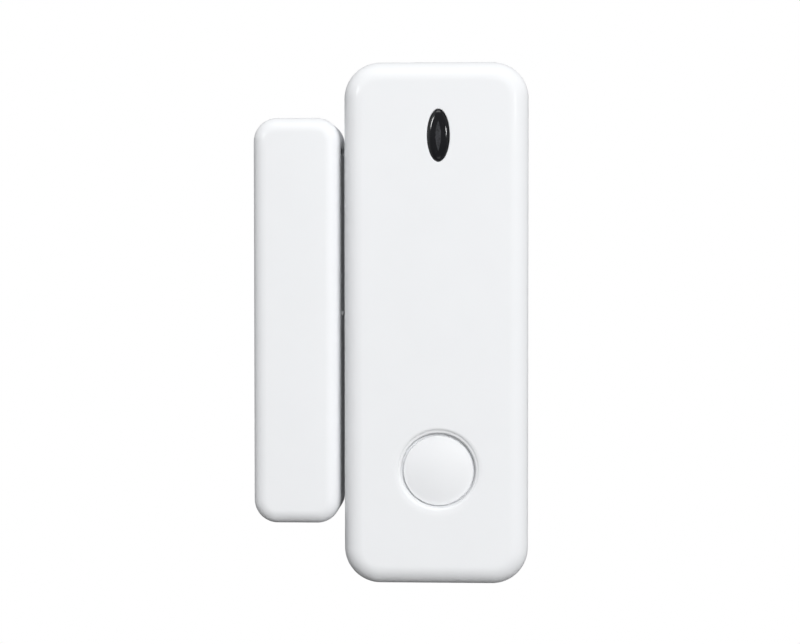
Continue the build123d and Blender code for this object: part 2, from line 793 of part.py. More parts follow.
with BuildPart() as bar_magnet:
    with BuildSketch(unit_plane.offset(magnet_back)):
        Rectangle(magnet_width, magnet_length)
    extrude(amount=magnet_depth)
    chamfer(bar_magnet.edges(), 0.3)
finish(bar_magnet, "bar_magnet")

with BuildPart() as magnet_adhesive_pad:
    with BuildSketch(unit_plane):
        RectangleRounded(unit_pad_width, unit_pad_length, 1.5)
    extrude(amount=base_back + pad_recess)
finish(magnet_adhesive_pad, "magnet_adhesive_pad")
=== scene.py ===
"""Looks of a two-part wireless door contact: a satin white transmitter with a button, and its magnet unit.

Lengths are metres, in the part's own frame: +Z up, the front faces -Y, and the wall is the plane y = 0.
A height is a distance out from the wall, so a point at height h has y = -h.
"""

import json
import math

import bmesh
import bpy
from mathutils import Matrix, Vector
from mathutils.geometry import tessellate_polygon


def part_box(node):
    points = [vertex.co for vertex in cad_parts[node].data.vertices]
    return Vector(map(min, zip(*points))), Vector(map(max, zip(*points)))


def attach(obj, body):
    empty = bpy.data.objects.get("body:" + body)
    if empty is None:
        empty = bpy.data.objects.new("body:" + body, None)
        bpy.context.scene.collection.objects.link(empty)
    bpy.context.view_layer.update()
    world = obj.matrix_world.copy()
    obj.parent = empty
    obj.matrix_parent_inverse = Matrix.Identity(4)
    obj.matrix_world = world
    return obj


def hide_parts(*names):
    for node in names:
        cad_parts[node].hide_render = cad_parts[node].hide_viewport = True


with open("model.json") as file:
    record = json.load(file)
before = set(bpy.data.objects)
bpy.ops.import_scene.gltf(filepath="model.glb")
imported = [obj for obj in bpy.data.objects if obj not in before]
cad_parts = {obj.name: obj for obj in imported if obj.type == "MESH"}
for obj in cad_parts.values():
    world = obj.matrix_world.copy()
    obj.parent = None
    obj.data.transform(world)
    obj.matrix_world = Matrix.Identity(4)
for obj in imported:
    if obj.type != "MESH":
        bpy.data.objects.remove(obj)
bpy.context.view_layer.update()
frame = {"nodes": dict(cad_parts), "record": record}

MM = 0.001

# ------------------------------------------------------------------ dimensions
case_low, case_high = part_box("front_cover")
CASE_HALF_WIDTH = case_high.x
CASE_HALF_LENGTH = case_high.z
CASE_BACK = -case_high.y
CASE_FRONT = -case_low.y
CASE_CORNER = 7.2 * MM
CASE_ROUND = 4.0 * MM
CASE_WALL = 1.8 * MM
CAVITY_FRONT = CASE_FRONT - CASE_WALL

lens_low, lens_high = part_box("indicator_lens")
LENS_Z = (lens_low.z + lens_high.z) / 2
LENS_HALF_WIDTH = 2.2 * MM
LENS_HALF_LENGTH = 5.15 * MM
LENS_GAP = 0.05 * MM
FACET_HALF_WIDTH = 0.57 * MM
FACET_HALF_LENGTH = 3.15 * MM
FACET_DROP = 0.12 * MM
COLLAR_BACK = 13.9 * MM
COLLAR_INNER = 1.1 * MM
COLLAR_OUTER = 2.1 * MM

button_low, button_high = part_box("push_button")
CONTROLS_X = (button_low.x + button_high.x) / 2
BUTTON_Z = (button_low.z + button_high.z) / 2
FLANGE_RADIUS = (button_high.x - button_low.x) / 2
BUTTON_RADIUS = 6.95 * MM
BUTTON_HOLE = 7.24 * MM
BUTTON_CROWN = -button_low.y
BUTTON_EDGE = BUTTON_CROWN - 0.9 * MM
STEM_BACK = -button_high.y
DISH_LEAD = 9.0 * MM
DISH_RIM = 8.05 * MM
DISH_STEP = 7.78 * MM
DISH_RISE = 0.22 * MM
GUIDE_BACK = 13.0 * MM
GUIDE_INNER = 8.4 * MM
GUIDE_OUTER = 9.5 * MM

unit_low, unit_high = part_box("magnet_base")
UNIT_X = (unit_low.x + unit_high.x) / 2
UNIT_Z = (unit_low.z + unit_high.z) / 2
UNIT_HALF_WIDTH = (unit_high.x - unit_low.x) / 2
UNIT_SIDE = UNIT_X + UNIT_HALF_WIDTH
UNIT_HALF_LENGTH = (unit_high.z - unit_low.z) / 2
unit_cover_low, unit_cover_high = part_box("magnet_cover")
UNIT_BACK = -unit_cover_high.y
UNIT_FRONT = -unit_cover_low.y
UNIT_CORNER = 4.75 * MM
UNIT_ROUND = 3.0 * MM
UNIT_WALL = 1.6 * MM
SLOT_Z = UNIT_Z + 34.4 * MM
SLOT_WIDTH = 1.3 * MM
SLOT_TOP = 10.0 * MM
MARK_Z = UNIT_Z + 1.4 * MM

BOARD_FRONT = -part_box("circuit_board")[0].y
ANTENNA_WIRE = 0.4 * MM
antenna_low, antenna_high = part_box("antenna_coil")
ANTENNA_X = antenna_high.x - ANTENNA_WIRE
ANTENNA_ENDS = (antenna_low.z + ANTENNA_WIRE, antenna_high.z - ANTENNA_WIRE)
# how far solder and pads are let into the board, so that no gap shows
SINK = 0.02 * MM


# ------------------------------------------------------------------- materials
class Shader:
    """A material under construction: a Principled shader and the nodes that feed it."""

    def __init__(self, name):
        self.material = bpy.data.materials.new(name)
        self.material.use_nodes = True
        self.tree = self.material.node_tree
        self.tree.nodes.clear()
        output = self.tree.nodes.new("ShaderNodeOutputMaterial")
        self.bsdf = self.tree.nodes.new("ShaderNodeBsdfPrincipled")
        self.tree.links.new(self.bsdf.outputs[0], output.inputs[0])
        self.place = self.tree.nodes.new("ShaderNodeTexCoord").outputs["Object"]

    def set(self, **values):
        """Constant values of the shader's own sockets, named with underscores for spaces."""
        for name, value in values.items():
            self.bsdf.inputs[name.replace("_", " ")].default_value = value
        return self

    def noise(self, size, detail=3.0, roughness=0.5, stretch=(1, 1, 1)):
        """Noise whose blotches are about size metres across."""
        mapping = self.tree.nodes.new("ShaderNodeMapping")
        mapping.inputs["Scale"].default_value = [s / size for s in stretch]
        texture = self.tree.nodes.new("ShaderNodeTexNoise")
        texture.inputs["Scale"].default_value = 1.0
        texture.inputs["Detail"].default_value = detail
        texture.inputs["Roughness"].default_value = roughness
        self.tree.links.new(self.place, mapping.inputs["Vector"])
        self.tree.links.new(mapping.outputs[0], texture.inputs["Vector"])
        return texture.outputs["Fac"]

    def ramp(self, value, low, high, low_at=0.3, high_at=0.7):
        """A colour or a number that runs from low to high as value does."""
        node = self.tree.nodes.new("ShaderNodeValToRGB")
        as_colour = [v if isinstance(v, tuple) else (v, v, v) for v in (low, high)]
        for element, at, colour in zip(node.color_ramp.elements, (low_at, high_at), as_colour):
            element.position = at
            element.color = (*colour, 1)
        self.tree.links.new(value, node.inputs["Fac"])
        return node.outputs["Color"]

    def feed(self, name, value):
        """Let a node's result drive one of the shader's sockets."""
        self.tree.links.new(value, self.bsdf.inputs[name])
        return self

    def bump(self, value, depth, strength=1.0):
        """Raise the surface by up to depth metres where value is high."""
        node = self.tree.nodes.new("ShaderNodeBump")
        node.inputs["Distance"].default_value = depth
        node.inputs["Strength"].default_value = strength
        last = self.bsdf.inputs["Normal"]
        if last.is_linked:
            self.tree.links.new(last.links[0].from_socket, node.inputs["Normal"])
        self.tree.links.new(value, node.inputs["Height"])
        self.tree.links.new(node.outputs["Normal"], last)
        return self


def scaled(colour, factor):
    """A colour made darker or lighter."""
    return tuple(min(1.0, c * factor) for c in colour)


def moulded(name, colour, gloss, grain=0.05 * MM, relief=0.002 * MM, drift=0.02, blotch=9 * MM, **more):
    """Moulded plastic: a faint drift of colour, uneven gloss, long flow waves and a fine grain."""
    shader = Shader(name)
    shader.set(**more)
    shader.feed("Base Color", shader.ramp(
        shader.noise(blotch), scaled(colour, 1 - drift), scaled(colour, 1 + drift)))
    shader.feed("Roughness", shader.ramp(
        shader.noise(2.5 * MM, detail=6), gloss * 0.88, gloss * 1.14))
    shader.bump(shader.noise(6 * MM, detail=1), relief * 1.5)
    shader.bump(shader.noise(grain, detail=2), relief)
    return shader.material


def metal(name, colour, gloss, stretch=(1, 1, 12), grain=0.3 * MM):
    """Bare or plated metal with drawing marks along one axis and a little tarnish."""
    shader = Shader(name)
    shader.set(Metallic=1.0)
    shader.feed("Base Color", shader.ramp(
        shader.noise(1.5 * MM, detail=5), scaled(colour, 0.82), scaled(colour, 1.06)))
    marks = shader.noise(grain, detail=4, stretch=stretch)
    shader.feed("Roughness", shader.ramp(marks, gloss * 0.7, gloss * 1.4))
    shader.bump(marks, 0.003 * MM)
    return shader.material


def foam(name, colour):
    """Closed-cell foam: small round cells, dull all over."""
    shader = Shader(name)
    shader.set(Roughness=0.92)
    cells = shader.tree.nodes.new("ShaderNodeTexVoronoi")
    cells.inputs["Scale"].default_value = 1 / (0.35 * MM)
    shader.tree.links.new(shader.place, cells.inputs["Vector"])
    cell = cells.outputs["Distance"]
    shader.feed("Base Color", shader.ramp(cell, scaled(colour, 0.8), scaled(colour, 1.05), 0.0, 0.6))
    shader.bump(cell, 0.05 * MM, 0.7)
    return shader.material


def make_materials():
    """One finish for each of the record's material slots, and three more that share a slot."""
    white = (0.83, 0.84, 0.855)
    return {
        "case_plastic": moulded(
            "case_plastic", white, 0.5, drift=0.006, relief=0.0010 * MM, IOR=1.48,
            Specular_IOR_Level=0.4, Coat_Weight=0.12, Coat_Roughness=0.16),
        "base_plastic": moulded(
            "base_plastic", scaled(white, 0.97), 0.55, relief=0.003 * MM, drift=0.012),
        "button_plastic": moulded("button_plastic", white, 0.38, relief=0.0015 * MM, drift=0.008),
        "smoked_lens": moulded(
            "smoked_lens", (0.012, 0.0125, 0.014), 0.08, relief=0.0008 * MM, drift=0.3,
            Specular_IOR_Level=0.5),
        "textured_lens": moulded(
            "textured_lens", (0.034, 0.035, 0.039), 0.5, grain=0.16 * MM, relief=0.02 * MM, drift=0.6,
            blotch=0.35 * MM, Specular_IOR_Level=0.3),
        "diffuser": moulded("diffuser", (0.85, 0.85, 0.82), 0.5),
        "foam_pad": foam("foam_pad", (0.80, 0.80, 0.77)),
        "board": board_mask(),
        "screw_steel": metal("screw_steel", (0.66, 0.66, 0.68), 0.28),
        "reed_glass": glass("reed_glass", (0.72, 0.9, 0.78)),
        "lead_metal": metal("lead_metal", (0.78, 0.77, 0.75), 0.26),
        "black_plastic": moulded("black_plastic", (0.02, 0.02, 0.021), 0.42, drift=0.2, relief=0.004 * MM),
        "tinned_steel": metal("tinned_steel", (0.72, 0.72, 0.71), 0.3),
        "solder": metal("solder", (0.80, 0.80, 0.79), 0.2, stretch=(1, 1, 1), grain=0.8 * MM),
        "marking_ink": moulded("marking_ink", (0.78, 0.78, 0.75), 0.6, drift=0.06, blotch=0.5 * MM),
        "spring_steel": metal("spring_steel", (0.62, 0.62, 0.63), 0.22, stretch=(1, 1, 1)),
        "led_epoxy": moulded(
            "led_epoxy", (0.62, 0.05, 0.035), 0.1, drift=0.05, Transmission_Weight=0.35, IOR=1.5),
        "battery_metal": metal("battery_metal", (0.75, 0.74, 0.72), 0.2),
        "battery_sleeve": sleeve(),
        "copper_wire": metal("copper_wire", (0.78, 0.36, 0.16), 0.24, stretch=(1, 1, 1)),
        "capacitor_can": moulded("capacitor_can", (0.02, 0.024, 0.05), 0.25, drift=0.1, Coat_Weight=0.5),
        "chip_epoxy": moulded("chip_epoxy", (0.022, 0.022, 0.023), 0.6, drift=0.2, relief=0.006 * MM),
        "resistor_body": moulded("resistor_body", (0.03, 0.03, 0.032), 0.5, drift=0.2),
        "capacitor_ceramic": moulded("capacitor_ceramic", (0.46, 0.34, 0.22), 0.5, drift=0.1),
        "magnet_ferrite": moulded("magnet_ferrite", (0.06, 0.06, 0.064), 0.55, drift=0.2, relief=0.01 * MM),
    }


def board_mask():
    """Green solder mask: copper runs under it show lighter and a little raised, in bundles."""
    shader = Shader("board")
    shader.set(Coat_Weight=0.4, Coat_Roughness=0.12)
    split = shader.tree.nodes.new("ShaderNodeSeparateXYZ")
    turned = shader.tree.nodes.new("ShaderNodeCombineXYZ")
    shader.tree.links.new(shader.place, split.inputs[0])
    shader.tree.links.new(split.outputs["Z"], turned.inputs["X"])
    shader.tree.links.new(split.outputs["X"], turned.inputs["Y"])
    runs = shader.tree.nodes.new("ShaderNodeTexBrick")
    shader.tree.links.new(turned.outputs[0], runs.inputs["Vector"])
    for name, value in (
        ("Scale", 1 / MM), ("Mortar Size", 0.12), ("Mortar Smooth", 0.3),
        ("Brick Width", 6.2), ("Row Height", 0.85),
    ):
        runs.inputs[name].default_value = value
    bundles = shader.ramp(shader.noise(7 * MM, detail=1), 0.0, 1.0, 0.46, 0.48)
    both = shader.tree.nodes.new("ShaderNodeMath")
    both.operation = "MULTIPLY"
    shader.tree.links.new(runs.outputs["Fac"], both.inputs[0])
    shader.tree.links.new(bundles, both.inputs[1])
    copper = both.outputs[0]
    tint = shader.tree.nodes.new("ShaderNodeMix")
    tint.data_type = "RGBA"
    tint.inputs["A"].default_value = (0.010, 0.095, 0.035, 1)
    tint.inputs["B"].default_value = (0.030, 0.20, 0.075, 1)
    shader.tree.links.new(copper, tint.inputs["Factor"])
    shader.feed("Base Color", tint.outputs["Result"])
    shader.feed("Roughness", shader.ramp(shader.noise(0.6 * MM, detail=5), 0.26, 0.36))
    shader.bump(copper, 0.03 * MM, 0.6)
    return shader.material


def glass(name, colour):
    """Drawn glass tube: clear, tinted, with slow waves in its surface."""
    shader = Shader(name)
    shader.set(Transmission_Weight=0.85, IOR=1.5, Base_Color=(*colour, 1))
    shader.feed("Roughness", shader.ramp(shader.noise(0.8 * MM), 0.03, 0.08))
    shader.bump(shader.noise(1.2 * MM, detail=1), 0.01 * MM)
    return shader.material


def sleeve():
    """The cell's shrunk film: a dark body with a paler band at its positive end."""
    shader = Shader("battery_sleeve")
    shader.set(Coat_Weight=0.5, Coat_Roughness=0.1)
    low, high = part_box("battery_wrap")
    split = shader.tree.nodes.new("ShaderNodeSeparateXYZ")
    shader.tree.links.new(shader.place, split.inputs[0])
    span = shader.tree.nodes.new("ShaderNodeMapRange")
    span.inputs["From Min"].default_value = low.z
    span.inputs["From Max"].default_value = high.z
    shader.tree.links.new(split.outputs["Z"], span.inputs["Value"])
    shader.feed("Base Color", shader.ramp(
        span.outputs[0], (0.02, 0.03, 0.06), (0.55, 0.40, 0.12), 0.70, 0.71))
    shader.feed("Roughness", shader.ramp(shader.noise(1.5 * MM, detail=4), 0.22, 0.34))
    shader.bump(shader.noise(1.0 * MM, detail=3, stretch=(1, 1, 0.15)), 0.02 * MM)
    return shader.material


MATERIALS = make_materials()
# the finishes that have no slot of their own, and the slot each one counts under
VARIANTS = {"textured_lens": "smoked_lens", "solder": "lead_metal", "marking_ink": "board"}


# ---------------------------------------------------------------- mesh helpers
def arc(across, height, radius, start, end, steps):
    """Points on an arc in a section, as (distance across, height), between two angles in degrees."""
    angles = [math.radians(start + (end - start) * i / steps) for i in range(steps + 1)]
    return [(across + radius * math.cos(a), height + radius * math.sin(a)) for a in angles]


def rounded_outline(half_width, half_length, radius, corner_steps=16, side_steps=(5, 20)):
    """A rounded rectangle's outline about the origin, anticlockwise, always with as many points."""
    points = []
    for quarter, (x, z) in enumerate(((1, 1), (-1, 1), (-1, -1), (1, -1))):
        centre = Vector((x * (half_width - radius), z * (half_length - radius)))
        for step in range(corner_steps + 1):
            angle = math.pi / 2 * (quarter + step / corner_steps)
            points.append(centre + radius * Vector((math.cos(angle), math.sin(angle))))
        steps = side_steps[quarter % 2]
        start, turn = points[-1], Vector((-math.sin(angle), math.cos(angle)))
        run = 2 * ((half_width, half_length)[quarter % 2] - radius)
        points.extend([start + turn * run * i / steps for i in range(1, steps)])
    return points


def ellipse_outline(half_width, half_length, steps):
    """An ellipse's outline about the origin, anticlockwise."""
    angles = [2 * math.pi * i / steps for i in range(steps)]
    return [Vector((half_width * math.cos(a), half_length * math.sin(a))) for a in angles]


class Shell:
    """A closed surface made of rings of points, joined ring to ring and filled where it is flat."""

    def __init__(self, centre=(0.0, 0.0)):
        self.mesh = bmesh.new()
        self.centre = centre

    def ring(self, outline, height):
        """The points of an outline about the shell's centre, at a height."""
        x, z = self.centre
        return [self.mesh.verts.new((x + p[0], -height, z + p[1])) for p in outline]

    def bridge(self, *rings):
        """Join each ring to the next. A ring of one point closes the surface to that point."""
        for a, b in zip(rings, rings[1:]):
            count = max(len(a), len(b))
            for i in range(count):
                j = (i + 1) % count
                corners = [a[i % len(a)], a[j % len(a)], b[j % len(b)], b[i % len(b)]]
                self.mesh.faces.new(list(dict.fromkeys(corners)))

    def fill(self, outer, *holes):
        """Cover a flat stretch inside outer, apart from the holes."""
        loops = [[v.co for v in ring] for ring in (outer, *holes)]
        points = [v for ring in (outer, *holes) for v in ring]
        for corners in tessellate_polygon(loops):
            self.mesh.faces.new([points[i] for i in corners])

    def round_ring(self, radius, height, steps=24):
        """A round ring about the shell's centre. With no radius it is a single point."""
        outline = ellipse_outline(radius, radius, steps) if radius else [Vector((0, 0))]
        return self.ring(outline, height)

    def piece(self, name, body, finish, replaced=(), sharp=40):
        """The finished object, riding on its body. Edges sharper than sharp degrees stay crisp."""
        bmesh.ops.recalc_face_normals(self.mesh, faces=self.mesh.faces[:])
        data = bpy.data.meshes.new(name)
        self.mesh.to_mesh(data)
        self.mesh.free()
        return adopt(bpy.data.objects.new(name, data), body, finish, replaced, sharp)


def adopt(item, body, finish, replaced=(), sharp=40):
    """Shade a piece, give it its finish and let it ride on its body."""
    if item.name not in bpy.context.scene.collection.objects:
        bpy.context.scene.collection.objects.link(item)
    item.data.polygons.foreach_set("use_smooth", [True] * len(item.data.polygons))
    item.data.set_sharp_from_angle(angle=math.radians(sharp))
    item.data.materials.clear()
    item.data.materials.append(MATERIALS[finish])
    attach(item, body)
    VARIANTS.get(finish, finish)
    if replaced:
        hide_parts(*replaced)
    return item


def rounded_bar(low, high, radius, segments=3):
    """A box between two corners with every edge rounded, as a loose mesh object."""
    mesh = bmesh.new()
    bmesh.ops.create_cube(mesh, size=1.0)
    for v in mesh.verts:
        v.co = [(a + b) / 2 + c * (b - a) for a, b, c in zip(low, high, v.co)]
    bmesh.ops.bevel(
        mesh, geom=mesh.edges[:], offset=radius, segments=segments, profile=0.5, affect="EDGES")
    data = bpy.data.meshes.new("bar")
    mesh.to_mesh(data)
    mesh.free()
    bar = bpy.data.objects.new("bar", data)
    bpy.context.scene.collection.objects.link(bar)
    return bar


def cut(piece, tool):
    """Cut tool out of a piece, for good. The tool is used up."""
    modifier = piece.modifiers.new("cut", "BOOLEAN")
    modifier.operation = "DIFFERENCE"
    modifier.solver = "EXACT"
    modifier.object = tool
    bpy.context.view_layer.update()
    made = bpy.data.meshes.new_from_object(piece.evaluated_get(bpy.context.evaluated_depsgraph_get()))
    piece.modifiers.clear()
    piece.data = made
    bpy.data.objects.remove(tool)


# ------------------------------------------------------------ transmitter cover
def case_rings(shell, half_width, half_length, corner, section):
    """Rings of a case wall, one for each (inset from the outline, height) of its section."""
    return [
        shell.ring(rounded_outline(half_width - inset, half_length - inset, corner - inset), height)
        for inset, height in section
    ]


def front_round(inset, front, radius, steps):
    """The section of a rounded front edge, from the side wall to the front face."""
    return [(inset + radius - a, h) for a, h in arc(0, front - radius, radius, 0, 90, steps)]


def shell_walls(shell, half_width, half_length, corner, back, front, edge, wall, support):
    """A case's outer skin and cavity, joined round the back rim; returns the two flat fronts' borders.

    Those borders lie support metres inside the end of the rounded edge, which keeps its shading even.
    """
    lip = 0.15 * MM
    outer = case_rings(shell, half_width, half_length, corner, [
        (lip, back), (0.3 * lip, back + 0.3 * lip), (0, back + lip), (0, back + 3 * lip),
        *front_round(0, front, edge, 26), (edge + support, front),
    ])
    inner = case_rings(shell, half_width, half_length, corner, [
        (wall - lip, back), (wall, back + lip), (wall, back + 3 * lip),
        *front_round(wall, front - wall, edge - wall, 12), (edge + support, front - wall),
    ])
    shell.bridge(*outer)
    shell.bridge(*inner)
    shell.bridge(outer[0], inner[0])
    return outer[-1], inner[-1]


def collar(ring, inner, outer, back, soft):
    """A rim that stands off the inside of the front, as rings, from its root inside round to outside."""
    return [
        ring(inner, CAVITY_FRONT),
        ring(inner, back + soft),
        ring(inner + soft, back),
        ring(outer - soft, back),
        ring(outer, back + soft),
        ring(outer, CAVITY_FRONT),
    ]


def make_front_cover():
    """The deep shell: the lens opening, the dished button recess, two inner rings and a prying slot."""
    shell = Shell()
    front, cavity = shell_walls(
        shell, CASE_HALF_WIDTH, CASE_HALF_LENGTH, CASE_CORNER, CASE_BACK, CASE_FRONT,
        CASE_ROUND, CASE_WALL, 0.3 * MM)

    def round_ring(radius, height, rise=0.0):
        circle = ellipse_outline(radius, radius, 120)
        return shell.ring([p + Vector((CONTROLS_X, BUTTON_Z + rise)) for p in circle], height)

    def oval_ring(grow, height):
        oval = ellipse_outline(LENS_HALF_WIDTH + grow, LENS_HALF_LENGTH + grow, 96)
        return shell.ring([p + Vector((CONTROLS_X, LENS_Z)) for p in oval], height)

    def dish_ring(radius, height):
        """The dish sits a little above the button's middle, and its lead-in and hole come back to it."""
        rise = DISH_RISE
        if radius > DISH_RIM:
            rise = DISH_RISE - 0.55 * (radius - DISH_RIM)
        elif radius < DISH_STEP:
            rise = 0.04 * MM
        return round_ring(radius, CASE_FRONT + height, rise)

    soft = 0.2 * MM
    lead = [i / 8 for i in range(9)]
    # the dish from its lead-in, over its rim, step and funnel, to the hole: (radius, height over the front)
    section = [
        (DISH_LEAD + soft, 0),
        *[(DISH_LEAD - (DISH_LEAD - DISH_RIM) * t, -0.15 * MM * t * t) for t in lead],
        (DISH_RIM - 0.05 * MM, -0.19 * MM),
        (DISH_RIM - 0.12 * MM, -0.28 * MM),
        (DISH_RIM - 0.20 * MM, -0.35 * MM),
        (DISH_RIM - 0.27 * MM, -0.38 * MM),
        (DISH_STEP - 0.17 * MM, -0.42 * MM),
        (DISH_STEP - 0.23 * MM, -0.46 * MM),
        (DISH_STEP - 0.26 * MM, -0.53 * MM),
        (BUTTON_HOLE + 0.07 * MM, -1.10 * MM),
        (BUTTON_HOLE + 0.03 * MM, -1.17 * MM),
        (BUTTON_HOLE, -1.25 * MM),
        (BUTTON_HOLE, -CASE_WALL),
    ]
    dish = [
        *[dish_ring(r, h) for r, h in section],
        *collar(round_ring, GUIDE_INNER, GUIDE_OUTER, GUIDE_BACK, soft),
    ]
    shell.bridge(*dish)
    oval = [
        oval_ring(LENS_GAP + 3 * soft, CASE_FRONT),
        *[oval_ring(g, h) for g, h in arc(LENS_GAP + soft, CASE_FRONT - soft, soft, 90, 180, 5)],
        oval_ring(LENS_GAP, CAVITY_FRONT),
        *collar(oval_ring, COLLAR_INNER, COLLAR_OUTER, COLLAR_BACK, soft),
    ]
    shell.bridge(*oval)
    shell.fill(front, dish[0], oval[0])
    shell.fill(cavity, dish[-1], oval[-1])
    cover = shell.piece("front_cover_shell", "front_cover", "case_plastic", ["front_cover"])
    # the prying slot in the bottom wall: its cutter reaches well past the wall on every open side
    slot_half_width = 4.0 * MM
    slot_height = 1.2 * MM
    past = 2 * MM
    slot = rounded_bar(
        (-slot_half_width, -(CASE_BACK + slot_height), -CASE_HALF_LENGTH - past),
        (slot_half_width, -(CASE_BACK - past), -CASE_HALF_LENGTH + CASE_WALL + 0.9 * MM),
        0.3 * MM)
    cut(cover, slot)
    adopt(cover, "front_cover", "case_plastic")


# --------------------------------------------------------------- lens and button
def make_lens():
    """Smoked window: a glossy rounded ridge runs round a narrow, pointed, finely textured facet."""
    shell = Shell((CONTROLS_X, LENS_Z))
    steps = 144
    turns = [2 * math.pi * i / steps for i in range(steps)]
    rim = [Vector((LENS_HALF_WIDTH * math.cos(a), LENS_HALF_LENGTH * math.sin(a))) for a in turns]
    pinch = [math.cos(a) * abs(math.cos(a)) for a in turns]
    facet = [
        Vector((FACET_HALF_WIDTH * c, FACET_HALF_LENGTH * math.sin(a) - FACET_DROP))
        for a, c in zip(turns, pinch)]
    edge_height = CASE_FRONT - 0.36 * MM

    def across(share, height):
        return shell.ring([f + (r - f) * share for f, r in zip(facet, rim)], height)

    # from the rim up a steep flank, over a narrow crest, then down a shallow dish to the facet's border
    crest, fold = 0.62, 0.22
    flank = 0.45 * MM / (1 - crest)
    dish = -0.04 * MM / crest
    slope = [across(1, edge_height - 0.25 * MM)]
    height = edge_height
    steps_in = 40
    for i in range(steps_in + 1):
        share = 1 - i / steps_in
        slope.append(across(share, height))
        turn = min(1.0, max(0.0, (crest + fold - share) / (2 * fold)))
        height += (flank + (dish - flank) * turn) / steps_in
    flange = 0.95 * MM
    wide = ellipse_outline(LENS_HALF_WIDTH + flange, LENS_HALF_LENGTH + flange, steps)
    flange_front = CAVITY_FRONT
    flange_back = CAVITY_FRONT - 0.8 * MM
    behind = [
        shell.ring(wide, flange_back + 0.1 * MM),
        shell.ring([p * 0.96 for p in wide], flange_back),
    ]
    shell.bridge(*slope)
    shell.fill(slope[-1])
    shell.bridge(slope[0], shell.ring(rim, flange_front), shell.ring(wide, flange_front), *behind)
    shell.fill(behind[-1])
    shell.piece("smoked_window", "front_cover", "smoked_lens", ["indicator_lens"], sharp=60)
    # the facet is a low crowned inlay, a little smaller than its border: (share of its size, rise in mm)
    inlay = Shell((CONTROLS_X, LENS_Z))
    rings = [
        inlay.ring([f * size for f in facet], height + rise * MM)
        for size, rise in ((0.97, -0.04), (0.95, 0.015), (0.8, 0.03), (0.5, 0.04), (0.2, 0.045))
    ]
    inlay.fill(rings[0])
    inlay.bridge(*rings)
    inlay.fill(rings[-1])
    inlay.piece("window_facet", "front_cover", "textured_lens")


def make_button():
    """Round cap with a soft crown, its retaining flange, hollow underside and central stem."""
    hang = 0.04 * MM
    shell = Shell((CONTROLS_X, BUTTON_Z - hang))
    lip = 0.25 * MM
    drop = BUTTON_CROWN - BUTTON_EDGE
    flat = BUTTON_RADIUS - lip
    crown = [(flat * s, BUTTON_CROWN - drop * s * s) for s in [i / 12 for i in range(13)]]
    flange_front = CAVITY_FRONT - 0.08 * MM
    flange_back = flange_front - 1.1 * MM
    hollow_radius = BUTTON_RADIUS - 1.4 * MM
    hollow_top = 16.3 * MM
    stem_radius = 1.6 * MM
    chamfer = 0.15 * MM
    section = [
        *crown,
        *arc(flat, BUTTON_EDGE - lip, lip, 80, 0, 8),
        (BUTTON_RADIUS, flange_front),
        (FLANGE_RADIUS - chamfer, flange_front),
        (FLANGE_RADIUS, flange_front - chamfer),
        (FLANGE_RADIUS, flange_back + chamfer),
        (FLANGE_RADIUS - chamfer, flange_back),
        (hollow_radius, flange_back),
        (hollow_radius, hollow_top - chamfer),
        (hollow_radius - chamfer, hollow_top),
        (stem_radius + chamfer, hollow_top),
        (stem_radius, hollow_top - chamfer),
        (stem_radius, STEM_BACK + chamfer),
        (stem_radius - chamfer, STEM_BACK),
        (0, STEM_BACK),
    ]
    shell.bridge(*[shell.round_ring(r, h, 120) for r, h in section])
    shell.piece("button_cap", "push_button", "button_plastic", ["push_button"])
    # two crossed ribs in the hollow, let a little way into its top and wall
    bite = 0.1 * MM
    half = 0.45 * MM + bite
    reach = hollow_radius + bite
    rib_back = flange_back + 0.1 * MM
    for name, x, z in (("across", reach, half), ("upright", half, reach)):
        rib = rounded_bar(
            (CONTROLS_X - x, -hollow_top - bite, BUTTON_Z - z), (CONTROLS_X + x, -rib_back, BUTTON_Z + z),
            0.1 * MM, 2)
        rib.name = f"button_rib_{name}"
        adopt(rib, "push_button", "button_plastic")


# ------------------------------------------------------------------ magnet cover
def make_magnet_cover():
    """The smaller shell, with a slot in the side that faces the transmitter."""
    shell = Shell((UNIT_X, UNIT_Z))
    front, cavity = shell_walls(
        shell, UNIT_HALF_WIDTH, UNIT_HALF_LENGTH, UNIT_CORNER, UNIT_BACK, UNIT_FRONT,
        UNIT_ROUND, UNIT_WALL, 0.25 * MM)
    shell.fill(front)
    shell.fill(cavity)
    cover = shell.piece("magnet_cover_shell", "magnet_cover", "case_plastic", ["magnet_cover"])
    past = 2 * MM
    slot = rounded_bar(
        (UNIT_SIDE - UNIT_WALL - 0.6 * MM, -SLOT_TOP, SLOT_Z - SLOT_WIDTH / 2),
        (UNIT_SIDE + past, -(UNIT_BACK - past), SLOT_Z + SLOT_WIDTH / 2),
        0.25 * MM)
    cut(cover, slot)
    adopt(cover, "magnet_cover", "case_plastic")


def make_alignment_mark():
    """A small raised bar on the side that faces the transmitter, partly sunk into the wall."""
    mark = Shell((UNIT_SIDE - 0.2 * MM, MARK_Z))
    radius = 0.55 * MM
    back = UNIT_BACK + 1 * MM
    front_end = UNIT_BACK + 6 * MM
    section = [
        (0, back), (radius * 0.7, back), (radius, back + 0.2 * MM),
        (radius, front_end - 0.3 * MM), (radius * 0.6, front_end), (0, front_end),
    ]
    mark.bridge(*[mark.round_ring(r, h) for r, h in section])
    mark.piece("alignment_mark", "magnet_cover", "case_plastic")


